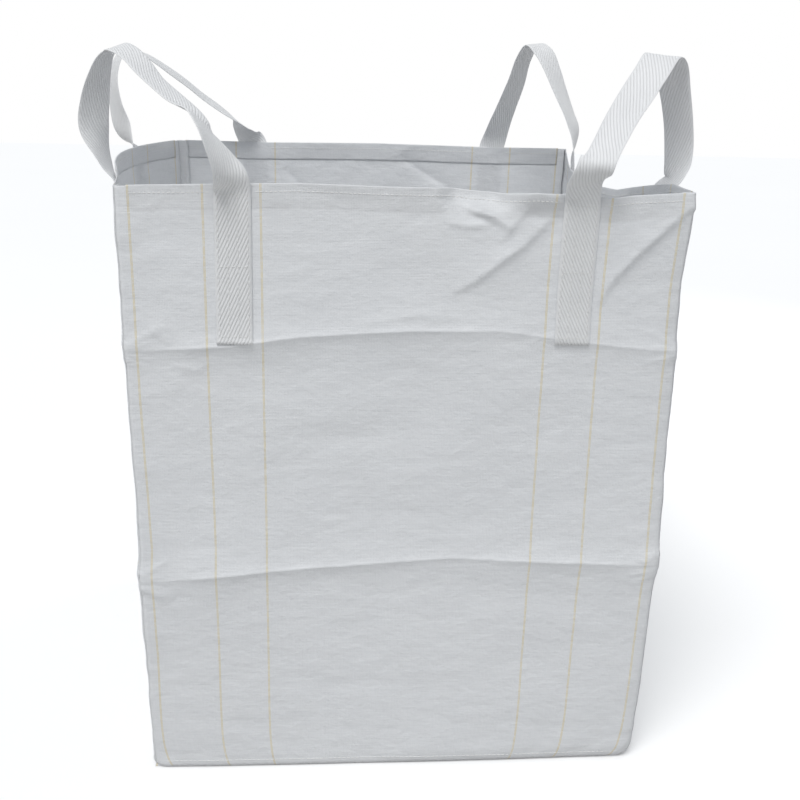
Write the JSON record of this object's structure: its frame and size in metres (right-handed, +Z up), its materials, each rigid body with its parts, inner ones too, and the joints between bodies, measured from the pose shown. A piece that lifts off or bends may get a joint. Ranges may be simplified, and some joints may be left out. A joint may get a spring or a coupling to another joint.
{
  "type": "bulk bag",
  "caption": "Empty open-top bulk bag (FIBC) of white woven cloth, four-panel square body with sewn corner lift loops of belt webbing that swing over the rim.",
  "frame": {"origin": "middle of the base panel's underside, where the bag stands", "axes": "+Z up through the open top, +X to the bag's right seen from its front, front panel facing -Y"},
  "size_m": [1.1262, 1.0011, 1.3524],
  "materials": {
    "woven_fabric": "satin woven polypropylene tape cloth, cool white",
    "webbing": "matt twill polypropylene belt webbing, white",
    "sewing_thread": "matt polyester sewing thread, white"
  },
  "bodies": {
    "bag": {"back_hem_stitching": "sewing_thread", "back_left_corner_thread": "sewing_thread", "back_leg_near_left": "webbing", "back_leg_near_left_stitching": "sewing_thread", "back_leg_near_right": "webbing", "back_leg_near_right_stitching": "sewing_thread", "back_panel": "woven_fabric", "back_right_corner_thread": "sewing_thread", "base_panel": "woven_fabric", "base_thread": "sewing_thread", "front_hem_stitching": "sewing_thread", "front_left_corner_thread": "sewing_thread", "front_leg_near_left": "webbing", "front_leg_near_left_stitching": "sewing_thread", "front_leg_near_right": "webbing", "front_leg_near_right_stitching": "sewing_thread", "front_panel": "woven_fabric", "front_right_corner_thread": "sewing_thread", "left_hem_stitching": "sewing_thread", "left_leg_near_back": "webbing", "left_leg_near_back_stitching": "sewing_thread", "left_leg_near_front": "webbing", "left_leg_near_front_stitching": "sewing_thread", "left_panel": "woven_fabric", "right_hem_stitching": "sewing_thread", "right_leg_near_back": "webbing", "right_leg_near_back_stitching": "sewing_thread", "right_leg_near_front": "webbing", "right_leg_near_front_stitching": "sewing_thread", "right_panel": "woven_fabric"},
    "front_right_lift_loop": {"front_right_loop": "webbing"},
    "back_right_lift_loop": {"back_right_loop": "webbing"},
    "back_left_lift_loop": {"back_left_loop": "webbing"},
    "front_left_lift_loop": {"front_left_loop": "webbing"}
  },
  "joints": [
    {"name": "front_right_loop_swing", "type": "hinge", "parent": "bag", "child": "front_right_lift_loop", "pos_m": [0.37645, -0.3821, 1.136], "axis": [0.6848, 0.7288, 0], "range_deg": [-90, 90]},
    {"name": "back_right_loop_swing", "type": "hinge", "parent": "bag", "child": "back_right_lift_loop", "pos_m": [0.3664, 0.38215, 1.136], "axis": [-0.6407, 0.7678, 0], "range_deg": [-90, 90]},
    {"name": "back_left_loop_swing", "type": "hinge", "parent": "bag", "child": "back_left_lift_loop", "pos_m": [-0.4156, 0.38315, 1.136], "axis": [-0.8069, -0.5907, 0], "range_deg": [-90, 90]},
    {"name": "front_left_loop_swing", "type": "hinge", "parent": "bag", "child": "front_left_lift_loop", "pos_m": [-0.39485, -0.38265, 1.136], "axis": [0.7516, -0.6596, 0], "range_deg": [-90, 90]}
  ]
}
